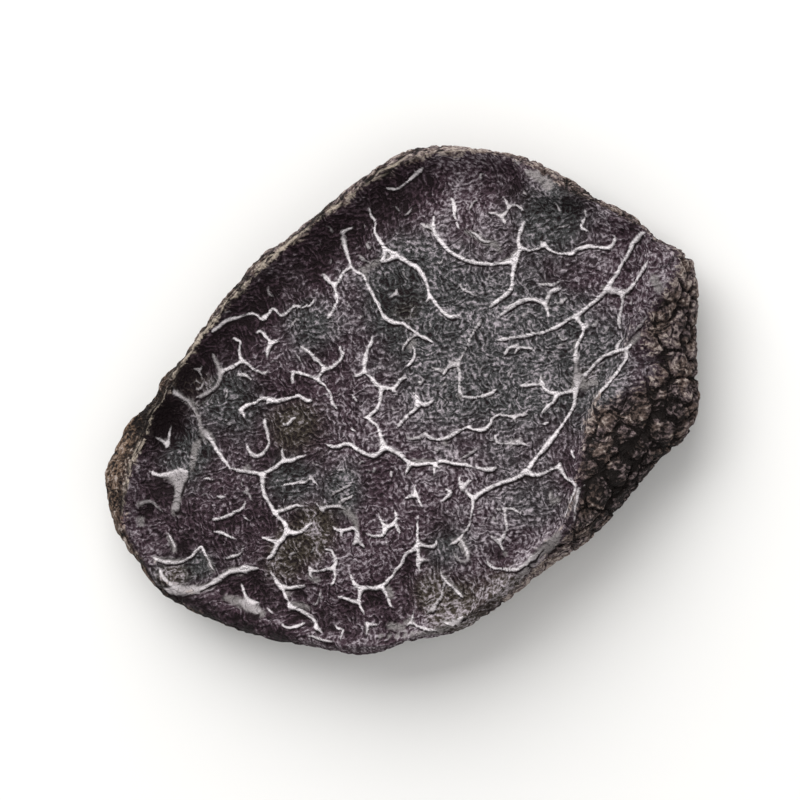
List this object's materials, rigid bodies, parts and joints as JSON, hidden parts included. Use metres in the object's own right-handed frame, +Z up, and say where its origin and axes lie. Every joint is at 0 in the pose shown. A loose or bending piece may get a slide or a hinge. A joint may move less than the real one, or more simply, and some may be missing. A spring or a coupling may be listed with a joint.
{
  "type": "dried black truffle slice",
  "caption": "Dried slice of black truffle lying cut face up: pale veined dark flesh inside a raised lip and a warty skin flank, on a small flat spot.",
  "frame": {"origin": "under the middle of the slice's bounding box, on the surface that it rests on", "axes": "+X along the slice towards its thicker end, +Y across it, +Z up out of the cut face"},
  "size_m": [0.0427, 0.0343, 0.0073],
  "materials": {
    "truffle": "dried fungus, matte, wrinkled, with pale veins"
  },
  "bodies": {
    "root": {"truffle_slice": "truffle"}
  },
  "joints": []
}
